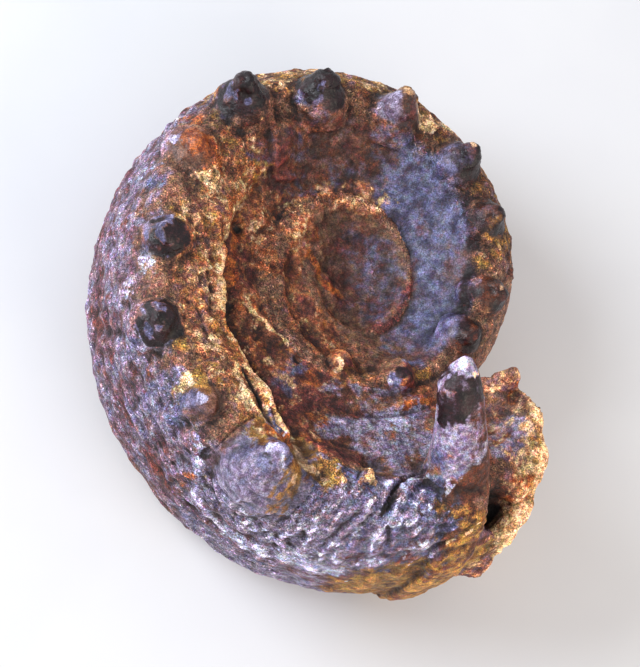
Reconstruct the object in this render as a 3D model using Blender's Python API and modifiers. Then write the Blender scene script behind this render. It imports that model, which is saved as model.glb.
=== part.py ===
"""Ammonite fossil: one solid piece of stone, lying on its side.

A coronate ammonite, about 120 mm by 135 mm. A thick outer whorl winds round a deep,
bowl-shaped umbilicus, with one row of blunt tubercles on its shoulder. A big cone and a
finger-like spine on a flared rib stand near the broken end of the whorl. The underside
mirrors the upper side, and its lowest tubercles are worn flat where the fossil rests.

The coil is drawn in its own frame, in millimetres: its axis is +Z, its middle plane is
Z = 0, and angles grow with the shell, counterclockwise from +X. The finished solid is
then leaned onto the tubercles that it rests on and scaled to metres.
"""

import math
from collections import namedtuple

import bmesh
import bpy
from mathutils import Matrix, Vector, noise

MM = 0.001

# ---------------------------------------------------------------- driving dimensions
GROWTH_PER_TURN = 2.07  # each turn is this many times the size of the turn before
SECTION_STEP = 45.0  # degrees between the whorl sections below
FIRST_ANGLE = -1350.0  # the coil starts near its centre
LAST_ANGLE = 320.0  # the broken end of the last whorl
LOFT_STEP = 3.0  # degrees between the rings of the loft

# Half sections of the last turn, from angle 0. Each height is above the middle plane.
# hollow is 0 for a straight umbilical wall and 1 for one that drops steeply at the ledge.
Section = namedtuple(
    "Section",
    "venter shoulder shoulder_height ledge ledge_height seam seam_height hollow",
)
SECTIONS = [
    Section(44.0, 34.0, 18.5, 25.0, 13.5, 16.0, 9.0, 0.0),
    Section(48.5, 38.0, 20.0, 27.5, 15.0, 18.0, 9.5, 0.0),
    Section(53.5, 43.0, 22.0, 31.0, 17.0, 20.5, 10.5, 0.1),
    Section(57.5, 48.0, 24.0, 32.5, 18.5, 22.5, 12.0, 0.6),
    Section(62.0, 53.0, 27.0, 36.0, 21.0, 25.5, 13.0, 1.0),
    Section(67.5, 59.0, 30.5, 44.5, 25.0, 28.0, 14.5, 1.0),
    Section(76.0, 64.0, 33.5, 56.0, 29.0, 31.0, 15.5, 0.6),
    Section(81.5, 65.0, 32.0, 56.0, 27.5, 34.5, 16.0, 0.2),
]

# The broken end runs back along the whorl towards its outer side. Next to the whorl
# before it, the end stays back too, so that a notch opens between them.
END_LAG = 25.5  # degrees, at the venter
END_LAG_START = 282.0  # the angle from which the whorl is sheared back
END_LAG_RADII = (46.0, 80.0)  # no lag inside the first, all of it at the second
NOTCH_LAG = 9.0  # degrees, at the whorl before it
NOTCH_RADII = (38.5, 44.5)  # all of the lag inside the first, none at the second

# Past the flared rib the last shell layer is missing, and the bare filling of the whorl
# slopes down to the broken end.
SHELL_STEP = 2.5
SHELL_STEP_ANGLES = (292.0, 297.0)
END_SLOPE = 6.0

# Tubercles of the shoulder row: angle, radius from the axis, base radius, length, and
# the lean of the spike out from the coil's axis, in degrees.
# The lower ones are more worn, and set further in.
Tubercle = namedtuple("Tubercle", "angle radius base length lean")
TUBERCLES = [
    Tubercle(-102.0, 26.5, 3.2, 2.5, 15.0),
    Tubercle(-73.0, 30.0, 4.2, 4.5, 10.0),
    Tubercle(-33.0, 31.5, 4.6, 4.5, 20.0),
    Tubercle(-11.0, 33.5, 4.8, 5.0, 20.0),
    Tubercle(21.0, 36.0, 5.0, 5.5, 20.0),
    Tubercle(46.0, 38.0, 5.6, 6.0, 15.0),
    Tubercle(75.5, 40.0, 5.8, 8.5, 20.0),
    Tubercle(104.0, 42.5, 6.2, 9.0, 20.0),
    Tubercle(128.5, 48.5, 6.4, 9.0, 20.0),
    Tubercle(151.0, 50.5, 5.8, 2.5, 15.0),
    Tubercle(179.2, 51.6, 5.4, 5.0, 15.0),
    Tubercle(201.2, 58.4, 5.6, 5.5, 10.0),
    Tubercle(222.5, 60.5, 4.2, 4.0, 10.0),
]
LOWER_INSET = 0.92  # radius, base and length of a lower tubercle over its twin's
LOWER_BASE = 0.80
LOWER_LENGTH = 0.55
BIG_TUBERCLE_BELOW = Tubercle(239.0, 54.0, 8.0, 6.0, 0.0)  # under the big cone
SPIKE_SIDES = 20
TIP_RATIO = 0.28  # tip radius of a spike over its base radius
ROOT_DEPTH = 5.0  # a spike starts this far under the surface

# The flared rib: its angle at the shoulder and at the venter, and its half sizes.
RIB_ANGLES = (289.5, 285.0)
RIB_HALF_WIDTH = 5.5
RIB_HALF_HEIGHT = 3.6
RIB_VENTER_HEIGHT = 0.35  # height of the rib at the venter over its height at the shoulder

# The big cone, whose broad foot swells the side of the whorl, and the finger spine on
# the rib: centre (x, y, z) and radius of each of their rings.
CONE_RINGS = [
    ((-27.4, -51.1, 8.0), 11.0),
    ((-28.4, -52.9, 20.0), 12.0),
    ((-29.5, -55.1, 28.0), 10.0),
    ((-29.8, -55.5, 32.5), 6.8),
    ((-29.2, -54.5, 36.0), 4.2),
    ((-28.4, -52.9, 38.6), 1.6),
]
SPINE_RINGS = [
    ((17.0, -58.0, 24.0), 9.0),
    ((16.0, -54.0, 33.0), 7.6),
    ((14.6, -49.5, 39.0), 6.5),
    ((13.0, -44.0, 44.0), 5.7),
    ((11.6, -39.2, 48.5), 5.2),
    ((11.9, -36.2, 51.2), 3.5),
    ((12.0, -34.2, 53.0), 1.3),
]

# Lumps (height over 0) and pits (under 0) of the upper face: plan centre, radius, height.
Lump = namedtuple("Lump", "x y radius height")
LUMPS = [
    Lump(29.5, -62.0, 7.0, -12.0),  # deep pit between the flared rib and the broken end
    Lump(32.8, -29.8, 6.0, 9.0),  # small spine at the inner corner of the broken end
    Lump(41.0, -37.0, 7.0, 3.0),
    Lump(42.0, -51.0, 8.0, 1.5),
    Lump(30.0, -42.0, 8.0, -3.0),
    Lump(-11.0, 8.0, 10.0, 2.5),  # crust over the inner whorls
    Lump(-12.0, -6.0, 12.0, 3.0),
    Lump(-37.0, 8.0, 7.0, 2.5),  # swellings along the ledge
    Lump(-28.0, -37.0, 6.0, 2.0),
    Lump(-2.0, -54.0, 6.0, -2.5),
    Lump(-23.0, -49.0, 7.0, -3.0),  # hollow at the foot of the big cone
    Lump(0.0, 0.0, 12.0, 3.0),  # flat middle of the coil
]
ROUGHNESS = 0.7  # depth of the weathering over the whole surface
ROUGHNESS_SIZE = 9.0

VOXEL = 1.2
SMOOTHING_PASSES = 4
TRIANGLES = 8600

# How the fossil lies: the coil's axis leans towards an angle, over a cut at a depth.
LEAN = 6.5
LEAN_TOWARDS = 55.0
REST_DEPTH = 27.7  # from the coil's centre down to the surface it rests on

STONE_COLOUR = (0.20, 0.13, 0.10, 1.0)
STONE_ROUGHNESS = 0.65


# ---------------------------------------------------------------- the whorl's section
def section_number(index):
    """Whorl section at a multiple of SECTION_STEP, scaled to the turn that it is in."""
    turn, place = divmod(index, len(SECTIONS))
    size = GROWTH_PER_TURN**turn
    base = SECTIONS[place]
    return [value * size for value in base[:-1]] + [base.hollow]


def section_at(angle):
    """Smooth section at any angle: a Catmull-Rom curve through the listed ones."""
    index = math.floor(angle / SECTION_STEP)
    t = angle / SECTION_STEP - index
    before, start, end, after = (section_number(index + k) for k in (-1, 0, 1, 2))
    values = []
    for p0, p1, p2, p3 in zip(before, start, end, after):
        slope = p2 - p0
        bend = 2.0 * p0 - 5.0 * p1 + 4.0 * p2 - p3
        twist = 3.0 * p1 - p0 - 3.0 * p2 + p3
        values.append(p1 + 0.5 * t * (slope + t * (bend + t * twist)))
    return Section(*values)


def ramp(value, low, high):
    """0 below low, 1 above high, and straight between them."""
    return min(1.0, max(0.0, (value - low) / (high - low)))


def upper_profile(angle):
    """(radius, height) points of the upper half section, from the inside to the venter."""
    s = section_at(angle)
    step = SHELL_STEP * ramp(angle, *SHELL_STEP_ANGLES)
    slope = END_SLOPE * ramp(angle, SHELL_STEP_ANGLES[0], LAST_ANGLE)
    venter = s.venter - step
    shoulder = s.shoulder - step
    top = s.shoulder_height - step - slope
    points = [(0.80 * s.seam, 0.60 * s.seam_height)]
    wall_points = 8
    for i in range(wall_points):
        x = i / wall_points
        drop = (1.0 - x) + s.hollow * ((1.0 - x) ** 0.45 - (1.0 - x))
        radius = s.seam + (s.ledge - s.seam) * x
        points.append((radius, s.ledge_height - (s.ledge_height - s.seam_height) * drop))
    flank_points = 7
    for i in range(flank_points):
        x = i / flank_points
        radius = s.ledge + (shoulder - s.ledge) * x
        rise = (top - s.ledge_height) * (1.0 - (1.0 - x) ** 2)
        points.append((radius, s.ledge_height + rise))
    venter_points = 10
    for i in range(venter_points + 1):
        turn = 0.5 * math.pi * i / venter_points
        points.append((shoulder + (venter - shoulder) * math.sin(turn), top * math.cos(turn)))
    return points


def end_lag(angle, radius):
    """Degrees by which a point of the last stretch lies back towards the whorl."""
    outer = END_LAG * ramp(radius, *END_LAG_RADII) ** 1.5
    inner = NOTCH_LAG * (1.0 - ramp(radius, *NOTCH_RADII))
    return (outer + inner) * ramp(angle, END_LAG_START, LAST_ANGLE)


def coil_point(angle, radius, height):
    """Point of the coil from its angle, its distance from the axis and its height."""
    turn = math.radians(angle - end_lag(angle, radius))
    return Vector((radius * math.cos(turn), radius * math.sin(turn), height))


def raise_lumps(point):
    """Moves a point of the upper face up or down where a lump or a pit is."""
    for lump in LUMPS:
        distance = math.hypot(point.x - lump.x, point.y - lump.y) / lump.radius
        if distance < 1.0:
            point.z += lump.height * (0.5 + 0.5 * math.cos(math.pi * distance))
    return point


def whorl_rings():
    """Closed rings of the whole coil, from its centre to the broken end."""
    rings = []
    count = round((LAST_ANGLE - FIRST_ANGLE) / LOFT_STEP)
    for i in range(count + 1):
        angle = FIRST_ANGLE + (LAST_ANGLE - FIRST_ANGLE) * i / count
        profile = upper_profile(angle)
        upper = [raise_lumps(coil_point(angle, r, z)) for r, z in profile]
        lower = [coil_point(angle, r, -z) for r, z in reversed(profile[:-1])]
        rings.append(upper + lower)
    return rings


# ---------------------------------------------------------------- building blocks
def add_loft(bm, rings):
    """Closed skin over a row of rings with equal numbers of points, capped at both ends."""
    rows = [[bm.verts.new(point) for point in ring] for ring in rings]
    for row, following in zip(rows, rows[1:]):
        for i in range(len(row)):
            j = (i + 1) % len(row)
            bm.faces.new((row[i], row[j], following[j], following[i]))
    bm.faces.new(list(reversed(rows[0])))
    bm.faces.new(rows[-1])


def circle_ring(centre, across, along, sides):
    """Ring round a centre, through the ends of two half axes."""
    ring = []
    for i in range(sides):
        turn = 2.0 * math.pi * i / sides
        ring.append(centre + across * math.cos(turn) + along * math.sin(turn))
    return ring


def add_spike(bm, base, direction, base_radius, length):
    """Blunt cone with a flared foot, whose foot is sunk into the surface."""
    across = direction.orthogonal().normalized()
    along = direction.cross(across)
    stops = [
        (-ROOT_DEPTH, 1.35),
        (0.0, 1.15),
        (0.30 * length, 0.85),
        (0.75 * length, 0.50),
        (length, TIP_RATIO),
    ]
    rings = []
    for height, ratio in stops:
        reach = base_radius * ratio
        centre = base + direction * height
        rings.append(circle_ring(centre, across * reach, along * reach, SPIKE_SIDES))
    add_loft(bm, rings)


def surface_height(angle, radius):
    """Height of the upper half section at a radius on its flank or shoulder."""
    profile = upper_profile(angle)
    for (r0, z0), (r1, z1) in zip(profile, profile[1:]):
        if r0 <= radius <= r1:
            return z0 + (z1 - z0) * (radius - r0) / (r1 - r0)
    return 0.0


def add_tubercle(bm, tubercle, side):
    """One tubercle on the upper (side 1) or lower (side -1) shoulder."""
    turn = math.radians(tubercle.angle)
    outward = Vector((math.cos(turn), math.sin(turn), 0.0))
    lean = math.radians(tubercle.lean)
    direction = outward * math.sin(lean) + Vector((0.0, 0.0, side * math.cos(lean)))
    base = outward * tubercle.radius
    base.z = side * surface_height(tubercle.angle, tubercle.radius)
    add_spike(bm, base, direction, tubercle.base, tubercle.length)


def lower_twin(tubercle):
    """The worn tubercle of the lower shoulder that faces an upper one."""
    return tubercle._replace(
        radius=tubercle.radius * LOWER_INSET,
        base=tubercle.base * LOWER_BASE,
        length=tubercle.length * LOWER_LENGTH,
    )


def add_flared_rib(bm):
    """Rib that rings the whorl, from the upper ledge over the venter to the lower one."""
    start, finish = RIB_ANGLES
    profile = [p for p in upper_profile(start) if p[0] > 0.93 * section_at(start).ledge]
    path = profile + [(r, -z) for r, z in reversed(profile[:-1])]
    middle = (len(path) - 1) / 2.0
    centres = []
    for i, (radius, height) in enumerate(path):
        share = 1.0 - abs(i - middle) / middle
        centres.append(coil_point(start + (finish - start) * share, radius, height))
    rings = []
    for i, centre in enumerate(centres):
        ahead = centres[min(i + 1, len(centres) - 1)] - centres[max(i - 1, 0)]
        ahead.normalize()
        share = 1.0 - abs(i - middle) / middle
        swell = 1.0 - (1.0 - RIB_VENTER_HEIGHT) * share
        radial = Vector((centre.x, centre.y, 0.0)).normalized()
        sideways = Vector((0.0, 0.0, 1.0)).cross(radial)
        sideways = (sideways - ahead * sideways.dot(ahead)).normalized()
        outward = sideways.cross(ahead) * (RIB_HALF_HEIGHT * swell)
        rings.append(circle_ring(centre, sideways * RIB_HALF_WIDTH, outward, 12))
    add_loft(bm, rings)


def add_bent_cone(bm, listed):
    """Round horn that follows the listed centres and radii."""
    centres = [Vector(centre) for centre, radius in listed]
    rings = []
    for i, (centre, (_, radius)) in enumerate(zip(centres, listed)):
        ahead = centres[min(i + 1, len(centres) - 1)] - centres[max(i - 1, 0)]
        along = ahead.cross(Vector((1.0, 0.0, 0.0))).normalized()
        across = along.cross(ahead).normalized()
        rings.append(circle_ring(centre, across * radius, along * radius, SPIKE_SIDES))
    add_loft(bm, rings)


# ---------------------------------------------------------------- the fossil
def build_rough_coil(name):
    """Coil, tubercles, rib and spine as overlapping skins in one mesh."""
    bm = bmesh.new()
    add_loft(bm, whorl_rings())
    for tubercle in TUBERCLES:
        add_tubercle(bm, tubercle, 1.0)
        add_tubercle(bm, lower_twin(tubercle), -1.0)
    add_tubercle(bm, BIG_TUBERCLE_BELOW, -1.0)
    add_bent_cone(bm, CONE_RINGS)
    add_flared_rib(bm)
    add_bent_cone(bm, SPINE_RINGS)
    centre_radius = 0.5 * section_at(FIRST_ANGLE + 360.0).venter
    bmesh.ops.create_uvsphere(bm, u_segments=16, v_segments=8, radius=centre_radius)
    bmesh.ops.recalc_face_normals(bm, faces=bm.faces)
    mesh = bpy.data.meshes.new(name)
    bm.to_mesh(mesh)
    bm.free()
    return mesh


def fuse(mesh, name, collection):
    """Makes one smooth skin of the overlapping skins and applies it to a new mesh."""
    rough = bpy.data.objects.new(name + "_rough", mesh)
    collection.objects.link(rough)
    remesh = rough.modifiers.new("fuse", "REMESH")
    remesh.mode = "VOXEL"
    remesh.voxel_size = VOXEL
    smooth = rough.modifiers.new("smooth", "SMOOTH")
    smooth.factor = 0.5
    smooth.iterations = SMOOTHING_PASSES
    depsgraph = bpy.context.evaluated_depsgraph_get()
    fused = bpy.data.meshes.new_from_object(rough.evaluated_get(depsgraph))
    bpy.data.objects.remove(rough)
    return fused


def weather(mesh):
    """Roughens the skin along its normals with low, broad lumps."""
    moves = []
    for vertex in mesh.vertices:
        bump = noise.fractal(vertex.co / ROUGHNESS_SIZE, 0.8, 2.0, 3)
        moves.append(vertex.normal * (bump * ROUGHNESS))
    for vertex, move in zip(mesh.vertices, moves):
        vertex.co += move


def thin_out(mesh, name, collection):
    """Reduces the skin to the number of triangles that its form needs."""
    fine = bpy.data.objects.new(name + "_fine", mesh)
    collection.objects.link(fine)
    decimate = fine.modifiers.new("decimate", "DECIMATE")
    decimate.ratio = TRIANGLES / sum(len(p.vertices) - 2 for p in mesh.polygons)
    decimate.use_collapse_triangulate = True
    depsgraph = bpy.context.evaluated_depsgraph_get()
    thinned = bpy.data.meshes.new_from_object(fine.evaluated_get(depsgraph))
    bpy.data.objects.remove(fine)
    return thinned


def lay_down(mesh):
    """Leans the fossil onto its underside, wears that flat and puts it over the origin."""
    bm = bmesh.new()
    bm.from_mesh(mesh)
    turn = math.radians(LEAN_TOWARDS)
    lean_axis = Vector((-math.sin(turn), math.cos(turn), 0.0))
    lean = Matrix.Rotation(math.radians(LEAN), 4, lean_axis)
    lift = Matrix.Translation((0.0, 0.0, REST_DEPTH))
    bm.transform(Matrix.Scale(MM, 4) @ lift @ lean)
    geometry = bm.verts[:] + bm.edges[:] + bm.faces[:]
    cut = bmesh.ops.bisect_plane(
        bm,
        geom=geometry,
        dist=1e-7,
        plane_co=(0.0, 0.0, 0.0),
        plane_no=(0.0, 0.0, 1.0),
        clear_inner=True,
    )
    rim = [item for item in cut["geom_cut"] if isinstance(item, bmesh.types.BMEdge)]
    bmesh.ops.holes_fill(bm, edges=rim, sides=0)
    bmesh.ops.triangulate(bm, faces=[face for face in bm.faces if len(face.verts) > 3])
    low = [min(vertex.co[axis] for vertex in bm.verts) for axis in range(3)]
    high = [max(vertex.co[axis] for vertex in bm.verts) for axis in range(3)]
    centre = Vector((0.5 * (low[0] + high[0]), 0.5 * (low[1] + high[1]), 0.0))
    bmesh.ops.translate(bm, verts=bm.verts, vec=-centre)
    bm.to_mesh(mesh)
    bm.free()


def stone_material(name):
    material = bpy.data.materials.new(name)
    material.use_nodes = True
    shader = material.node_tree.nodes["Principled BSDF"]
    shader.inputs["Base Color"].default_value = STONE_COLOUR
    shader.inputs["Roughness"].default_value = STONE_ROUGHNESS
    shader.inputs["Metallic"].default_value = 0.0
    return material


def main():
    for old in list(bpy.data.objects):
        bpy.data.objects.remove(old)
    collection = bpy.data.collections.new("ammonite_fossil")
    bpy.context.scene.collection.children.link(collection)
    name = "ammonite"
    mesh = fuse(build_rough_coil(name), name, collection)
    weather(mesh)
    mesh = thin_out(mesh, name, collection)
    lay_down(mesh)
    mesh.materials.clear()
    mesh.materials.append(stone_material("fossil_stone"))
    mesh.shade_smooth()
    mesh.set_sharp_from_angle(angle=math.radians(50.0))
    fossil = bpy.data.objects.new(name, mesh)
    collection.objects.link(fossil)


main()
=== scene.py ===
"""Looks of the ammonite fossil: one finely worked stone surface over the CAD solid.

The surface is the same coil, tubercles, cone, rib and spine as the solid, in its own frame
and in millimetres: the coil's axis is +Z, its middle plane is Z = 0, and angles grow with the
shell. Relief and mineral colours are laid on it by rules that read each point's place on the
coil, together with painted light and shade on the sides that face or turn from the key light
and in seams, pits and cracks, and the result is leaned, scaled to metres and set over the CAD
node.
"""

import copy
import math
from collections import namedtuple

import bmesh
import bpy
import numpy as np
from mathutils import Matrix, Vector


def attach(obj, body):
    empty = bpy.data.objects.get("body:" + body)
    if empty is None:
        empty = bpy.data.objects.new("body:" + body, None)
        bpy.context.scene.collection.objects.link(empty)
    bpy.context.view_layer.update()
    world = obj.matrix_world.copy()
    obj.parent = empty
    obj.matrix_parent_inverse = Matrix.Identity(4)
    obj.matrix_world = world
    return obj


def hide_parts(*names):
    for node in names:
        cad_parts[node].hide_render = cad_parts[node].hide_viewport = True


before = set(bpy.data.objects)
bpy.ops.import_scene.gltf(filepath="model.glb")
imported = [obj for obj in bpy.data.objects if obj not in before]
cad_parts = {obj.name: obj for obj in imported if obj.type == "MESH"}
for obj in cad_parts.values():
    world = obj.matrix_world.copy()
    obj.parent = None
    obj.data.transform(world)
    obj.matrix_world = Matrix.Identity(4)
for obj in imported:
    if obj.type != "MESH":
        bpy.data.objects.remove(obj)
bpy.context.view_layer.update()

MM = 0.001

# ================================================================ the form of the coil
GROWTH_PER_TURN = 2.07
SECTION_STEP = 45.0
FIRST_ANGLE = -1350.0
LAST_ANGLE = 320.0
LOFT_STEP = 1.5

Section = namedtuple(
    "Section",
    "venter shoulder shoulder_height ledge ledge_height seam seam_height hollow",
)
SECTIONS = np.array(
    [
        Section(44, 34, 18.5, 25, 13.5, 16, 9, 0),
        Section(48.5, 38, 20, 27.5, 15, 18, 9.5, 0),
        Section(53.5, 43, 22, 31, 17, 20.5, 10.5, 0.1),
        Section(57.5, 48, 24, 32.5, 18.5, 22.5, 12, 0.6),
        Section(62, 53, 27, 36, 21, 25.5, 13, 1),
        Section(67.5, 59, 30.5, 44.5, 25, 28, 14.5, 1),
        Section(76, 64, 33.5, 56, 29, 31, 15.5, 0.6),
        Section(81.5, 65, 32, 56, 27.5, 34.5, 16, 0.2),
    ]
)
END_LAG = 25.5
END_LAG_START = 282
END_LAG_RADII = (46, 80)
NOTCH_LAG = 9
NOTCH_RADII = (38.5, 44.5)
SHELL_STEP = 2.5
SHELL_STEP_ANGLES = (292, 297)
END_SLOPE = 6

Tubercle = namedtuple("Tubercle", "angle radius base length lean")
TUBERCLES = [
    Tubercle(-102, 26.5, 3.2, 2.5, 15),
    Tubercle(-73, 30, 4.2, 4.5, 10),
    Tubercle(-33, 31.5, 4.6, 4.5, 20),
    Tubercle(-11, 33.5, 4.8, 5, 20),
    Tubercle(21, 36, 5, 5.5, 20),
    Tubercle(46, 38, 5.6, 6, 15),
    Tubercle(75.5, 40, 5.8, 8.5, 20),
    Tubercle(104, 42.5, 6.2, 9, 20),
    Tubercle(128.5, 48.5, 6.4, 9, 20),
    Tubercle(151, 50.5, 5.8, 2.5, 15),
    Tubercle(179.2, 51.6, 5.4, 5, 15),
    Tubercle(201.2, 58.4, 5.6, 5.5, 10),
    Tubercle(222.5, 60.5, 4.2, 4, 10),
]
LOWER_INSET = 0.92
LOWER_BASE = 0.80
LOWER_LENGTH = 0.55
BIG_TUBERCLE_BELOW = Tubercle(239, 54, 8, 6, 0)
SPIKE_SIDES = 32
TIP_RATIO = 0.28
ROOT_DEPTH = 5

RIB_ANGLES = (289.5, 285)
RIB_HALF_WIDTH = 5.5
RIB_HALF_HEIGHT = 3.6
RIB_VENTER_HEIGHT = 0.35
CONE_RINGS = [
    ((-27.4, -51.1, 8), 11),
    ((-28.4, -52.9, 20), 12),
    ((-29.5, -55.1, 28), 10),
    ((-29.8, -55.5, 32.5), 6.8),
    ((-29.2, -54.5, 36), 4.2),
    ((-28.4, -52.9, 38.6), 1.6),
]
SPINE_RINGS = [
    ((17, -58, 24), 9),
    ((16, -54, 33), 7.6),
    ((14.6, -49.5, 39), 6.5),
    ((13, -44, 44), 5.7),
    ((11.6, -39.2, 48.5), 5.2),
    ((11.9, -36.2, 51.2), 3.5),
    ((12, -34.2, 53), 1.3),
]

Lump = namedtuple("Lump", "x y radius height")
LUMPS = [
    Lump(29.5, -62, 7, -12),
    Lump(32.8, -29.8, 6, 9),
    Lump(41, -37, 7, 3),
    Lump(42, -51, 8, 1.5),
    Lump(30, -42, 8, -3),
    Lump(-11, 8, 10, 2.5),
    Lump(-12, -6, 12, 3),
    Lump(-37, 8, 7, 2.5),
    Lump(-28, -37, 6, 2),
    Lump(-2, -54, 6, -2.5),
    Lump(-23, -49, 7, -3),
    Lump(0, 0, 12, 3),
]

# How the fossil lies, as in the CAD model.
LEAN = 6.5
LEAN_TOWARDS = 55.0
REST_DEPTH = 27.7
COIL_AXIS = (9.12, 12.11)  # where the coil's centre stands, from the frame's origin

VOXEL = 0.62
SMOOTHING_PASSES = 3
TRIANGLES = 185000

# ================================================================ camera, light and floor
CAMERA_AZIMUTH = -135.0
CAMERA_ELEVATION = 64.0
CAMERA_UP_ANGLE = 87.0  # the direction in the coil's plane that is up in the picture
CAMERA_DISTANCE = 700.0
CAMERA_LENS = 151.0
CAMERA_AIM = (-4.75, -12.1)  # right and up from the coil's centre, in the picture
CAMERA_CLIP = 0.01

Light = namedtuple("Light", "name right up back distance size power colour")
LIGHTS = [
    Light("key", -0.85, 0.65, 0.95, 0.75, 0.50, 5.6, (0.87, 0.93, 1.00)),
    Light("fill", 0.9, -0.75, 0.75, 0.80, 0.60, 2.4, (1.00, 0.86, 0.70)),
]
SKY_COLOUR = (0.95, 0.96, 1.0, 1.0)
SKY_STRENGTH = 0.62

FLOOR_HALF = 1.2
FLOOR_DARK = (0.80, 0.80, 0.82, 1)
FLOOR_LIGHT = (0.83, 0.83, 0.84, 1)


# ================================================================ noise
def lattice_value(x, y, z, seed):
    """Repeatable number from -1 to 1 at each whole-numbered place."""
    mixed = (x * 73856093) ^ (y * 19349663) ^ (z * 83492791) ^ (seed * 49979687)
    mixed = (mixed ^ (mixed >> 13)) * 1274126177
    return ((mixed ^ (mixed >> 16)) & 0xFFFF) / 32767.5 - 1.0


def smooth_noise(points, size, seed):
    """Value noise from -1 to 1 whose lumps are about as large as size."""
    scaled = points / size
    cell = np.floor(scaled).astype(np.int64)
    part = scaled - cell
    part = part * part * (3.0 - 2.0 * part)
    total = np.zeros(len(points))
    for corner in range(8):
        step = np.array([corner & 1, (corner >> 1) & 1, (corner >> 2) & 1])
        weight = np.prod(np.where(step, part, 1.0 - part), axis=1)
        place = cell + step
        total += weight * lattice_value(place[:, 0], place[:, 1], place[:, 2], seed)
    return total


def noise(points, size, seed, octaves=3):
    """Sum of finer and weaker noises, from about -1 to 1."""
    total = np.zeros(len(points))
    for octave in range(octaves):
        total += 0.5**octave * smooth_noise(points, size / 2.1**octave, seed + octave)
    return total


def ridges(points, size, seed, octaves=2):
    """Noise from 0 to 1 that is 1 along thin wandering lines."""
    return np.clip(1.0 - 2.5 * np.abs(noise(points, size, seed, octaves)), 0.0, 1.0)


def ramp(value, low, high):
    """0 at low, 1 at high and a smooth rise between them."""
    share = np.clip((value - low) / (high - low), 0.0, 1.0)
    return share * share * (3.0 - 2.0 * share)


def window(value, low, high, soft):
    """1 between low and high, falling to 0 over soft on either side."""
    return ramp(value, low - soft, low) * (1.0 - ramp(value, high, high + soft))


# ================================================================ sections of the whorl
def section_rows(index):
    """Listed sections at whole multiples of SECTION_STEP, scaled to their turn."""
    turn, place = np.divmod(index, len(SECTIONS))
    rows = SECTIONS[place].copy()
    rows[..., :-1] *= GROWTH_PER_TURN ** turn[..., None].astype(float)
    return rows


def sections_at(angle):
    """Sections at any angles: Catmull-Rom curves through the listed ones."""
    angle = np.asarray(angle, dtype=float)
    index = np.floor(angle / SECTION_STEP).astype(int)
    t = (angle / SECTION_STEP - index)[..., None]
    p0, p1, p2, p3 = (section_rows(index + k) for k in (-1, 0, 1, 2))
    bend = 2.0 * p0 - 5.0 * p1 + 4.0 * p2 - p3
    twist = 3.0 * p1 - p0 - 3.0 * p2 + p3
    values = p1 + 0.5 * t * (p2 - p0 + t * (bend + t * twist))
    return Section(*np.moveaxis(values, -1, 0))


def linear(value, low, high):
    return np.clip((value - low) / (high - low), 0.0, 1.0)


def upper_profile(angle):
    """(radius, height) points of the upper half section, from the inside to the venter."""
    s = sections_at(angle)
    step = SHELL_STEP * linear(angle, *SHELL_STEP_ANGLES)
    slope = END_SLOPE * linear(angle, SHELL_STEP_ANGLES[0], LAST_ANGLE)
    venter = s.venter - step
    shoulder = s.shoulder - step
    top = s.shoulder_height - step - slope
    wall = np.arange(16) / 16.0
    drop = (1.0 - wall) + s.hollow * ((1.0 - wall) ** 0.45 - (1.0 - wall))
    flank = np.arange(14) / 14.0
    bow = 0.5 * np.pi * np.arange(25) / 24.0
    radius = np.concatenate(
        [
            [0.80 * s.seam],
            s.seam + (s.ledge - s.seam) * wall,
            s.ledge + (shoulder - s.ledge) * flank,
            shoulder + (venter - shoulder) * np.sin(bow),
        ]
    )
    height = np.concatenate(
        [
            [0.60 * s.seam_height],
            s.ledge_height - (s.ledge_height - s.seam_height) * drop,
            s.ledge_height + (top - s.ledge_height) * (1.0 - (1.0 - flank) ** 2),
            top * np.cos(bow),
        ]
    )
    return radius, height


def end_lag(radius):
    """Degrees by which the broken end stays back at a radius."""
    outer = END_LAG * linear(radius, *END_LAG_RADII) ** 1.5
    return outer + NOTCH_LAG * (1.0 - linear(radius, *NOTCH_RADII))


def coil_points(angle, radius, height):
    """Points of the coil at one angle."""
    along = linear(angle, END_LAG_START, LAST_ANGLE)
    turn = np.radians(angle - along * end_lag(radius))
    return np.stack([radius * np.cos(turn), radius * np.sin(turn), height], axis=-1)


def raise_lumps(points):
    """Moves points of the upper face up or down where a lump or a pit is."""
    for lump in LUMPS:
        away = np.hypot(points[:, 0] - lump.x, points[:, 1] - lump.y) / lump.radius
        points[:, 2] += lump.height * (0.5 + 0.5 * np.cos(np.pi * np.minimum(away, 1.0)))
    return points


def whorl_rings():
    """Closed rings of the whole coil, from its centre to the broken end."""
    rings = []
    count = round((LAST_ANGLE - FIRST_ANGLE) / LOFT_STEP)
    for i in range(count + 1):
        angle = FIRST_ANGLE + (LAST_ANGLE - FIRST_ANGLE) * i / count
        radius, height = upper_profile(angle)
        upper = raise_lumps(coil_points(angle, radius, height))
        lower = coil_points(angle, radius[-2::-1], -height[-2::-1])
        rings.append(np.concatenate([upper, lower]))
    return rings


# ================================================================ skins
def add_loft(bm, rings):
    """Closed skin over a row of rings with equal numbers of points, capped at both ends."""
    rows = [[bm.verts.new(point) for point in ring] for ring in rings]
    for row, following in zip(rows, rows[1:]):
        for i in range(len(row)):
            j = (i + 1) % len(row)
            bm.faces.new((row[i], row[j], following[j], following[i]))
    bm.faces.new(list(reversed(rows[0])))
    bm.faces.new(rows[-1])


def circle_ring(centre, across, along, sides):
    """Ring round a centre, through the ends of two half axes."""
    ring = []
    for i in range(sides):
        turn = 2.0 * math.pi * i / sides
        ring.append(centre + across * math.cos(turn) + along * math.sin(turn))
    return ring


def surface_height(angle, radius):
    """Height of the upper half section at a radius on its flank or shoulder."""
    radii, heights = upper_profile(angle)
    return float(np.interp(radius, radii, heights))


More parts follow.
